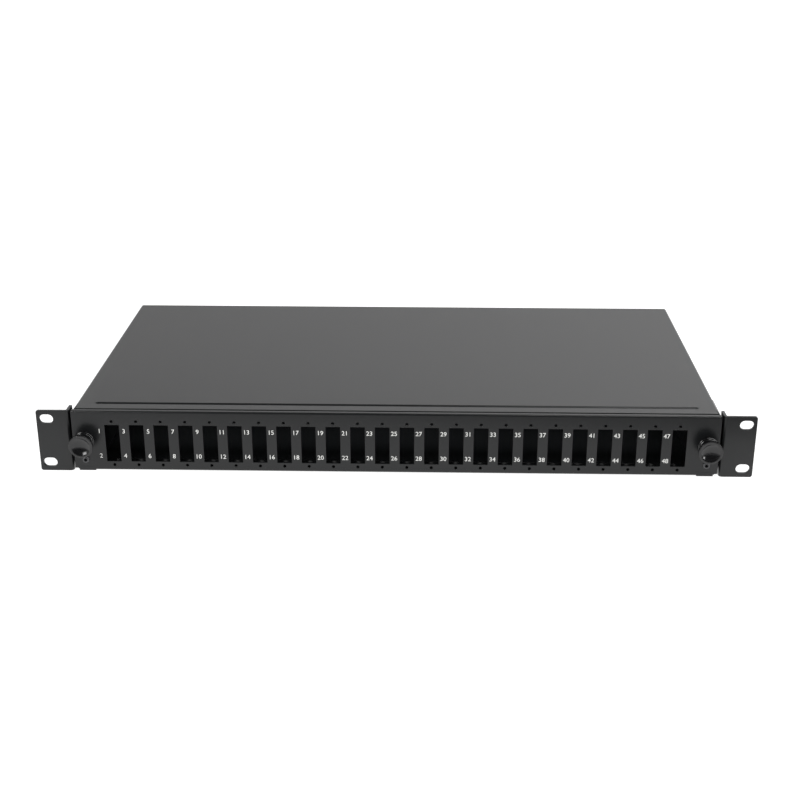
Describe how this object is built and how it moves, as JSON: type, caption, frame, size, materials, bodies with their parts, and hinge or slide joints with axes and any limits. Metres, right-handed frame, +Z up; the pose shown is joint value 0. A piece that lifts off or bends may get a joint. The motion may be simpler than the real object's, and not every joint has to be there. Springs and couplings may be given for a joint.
{
  "type": "patch panel",
  "caption": "Sliding fibre patch panel for a 19 inch rack: windowed drawer front with push-pull latches, rack ears, and splice cassettes inside.",
  "frame": {"origin": "middle of the underside of the case, on the surface it rests on", "axes": "+X to the right end seen from the front, -Y out of the front, +Z up"},
  "size_m": [0.4826, 0.2657, 0.044],
  "materials": {
    "black_powder_coat": "fine textured semi-gloss powder coat",
    "zinc_plated_steel": "bright zinc plate",
    "black_nylon": "moulded satin",
    "black_abs": "moulded matt",
    "black_rubber": "matt"
  },
  "bodies": {
    "case": {"case_tray": "black_powder_coat", "cover_screw_left_1": "zinc_plated_steel", "cover_screw_left_2": "zinc_plated_steel", "cover_screw_right_1": "zinc_plated_steel", "cover_screw_right_2": "zinc_plated_steel", "ear_left": "black_powder_coat", "ear_right": "black_powder_coat", "ear_screw_left_1": "zinc_plated_steel", "ear_screw_left_2": "zinc_plated_steel", "ear_screw_left_3": "zinc_plated_steel", "ear_screw_right_1": "zinc_plated_steel", "ear_screw_right_2": "zinc_plated_steel", "ear_screw_right_3": "zinc_plated_steel", "entry_plug_left": "black_rubber", "entry_plug_right": "black_rubber", "gland_body_left": "black_nylon", "gland_body_right": "black_nylon", "gland_cap_left": "black_nylon", "gland_cap_right": "black_nylon", "gland_locknut_left": "black_nylon", "gland_locknut_right": "black_nylon", "gland_seal_left": "black_rubber", "gland_seal_right": "black_rubber", "outer_rail_left": "zinc_plated_steel", "outer_rail_right": "zinc_plated_steel", "top_cover": "black_powder_coat"},
    "drawer": {"cassette_lid": "black_abs", "cassette_nut": "black_nylon", "cassette_stud": "zinc_plated_steel", "drawer_tray": "black_powder_coat", "fibre_guide_left_front": "black_nylon", "fibre_guide_left_rear": "black_nylon", "fibre_guide_right_front": "black_nylon", "fibre_guide_right_rear": "black_nylon", "front_panel": "black_powder_coat", "inner_rail_left": "zinc_plated_steel", "inner_rail_right": "zinc_plated_steel", "latch_grommet_left": "black_nylon", "latch_grommet_right": "black_nylon", "panel_rivet_left": "black_powder_coat", "panel_rivet_right": "black_powder_coat", "splice_cassette_lower": "black_abs", "splice_cassette_upper": "black_abs", "splice_comb_lower": "black_rubber", "splice_comb_upper": "black_rubber", "tube_anchor_left": "black_nylon", "tube_anchor_right": "black_nylon"},
    "ball_cage_left_travel": {"ball_cage_left": "zinc_plated_steel"},
    "ball_cage_right_travel": {"ball_cage_right": "zinc_plated_steel"},
    "latch_pull_left": {"latch_plunger_left": "black_nylon"},
    "latch_pull_right": {"latch_plunger_right": "black_nylon"}
  },
  "joints": [
    {"name": "drawer_slide", "type": "slide", "parent": "case", "child": "drawer", "axis": [0, -1, 0], "range_m": [0, 0.14]},
    {"name": "ball_cage_left_slide", "type": "slide", "parent": "case", "child": "ball_cage_left_travel", "axis": [0, -1, 0], "range_m": [0, 0.07]},
    {"name": "ball_cage_right_slide", "type": "slide", "parent": "case", "child": "ball_cage_right_travel", "axis": [0, -1, 0], "range_m": [0, 0.07]},
    {"name": "latch_pull_left_slide", "type": "slide", "parent": "drawer", "child": "latch_pull_left", "axis": [0, -1, 0], "range_m": [0, 0.006]},
    {"name": "latch_pull_right_slide", "type": "slide", "parent": "drawer", "child": "latch_pull_right", "axis": [0, -1, 0], "range_m": [0, 0.006]}
  ],
  "couplings": [
    {"joint": "ball_cage_left_slide", "follows": "drawer_slide", "ratio": 0.5},
    {"joint": "ball_cage_right_slide", "follows": "drawer_slide", "ratio": 0.5}
  ]
}
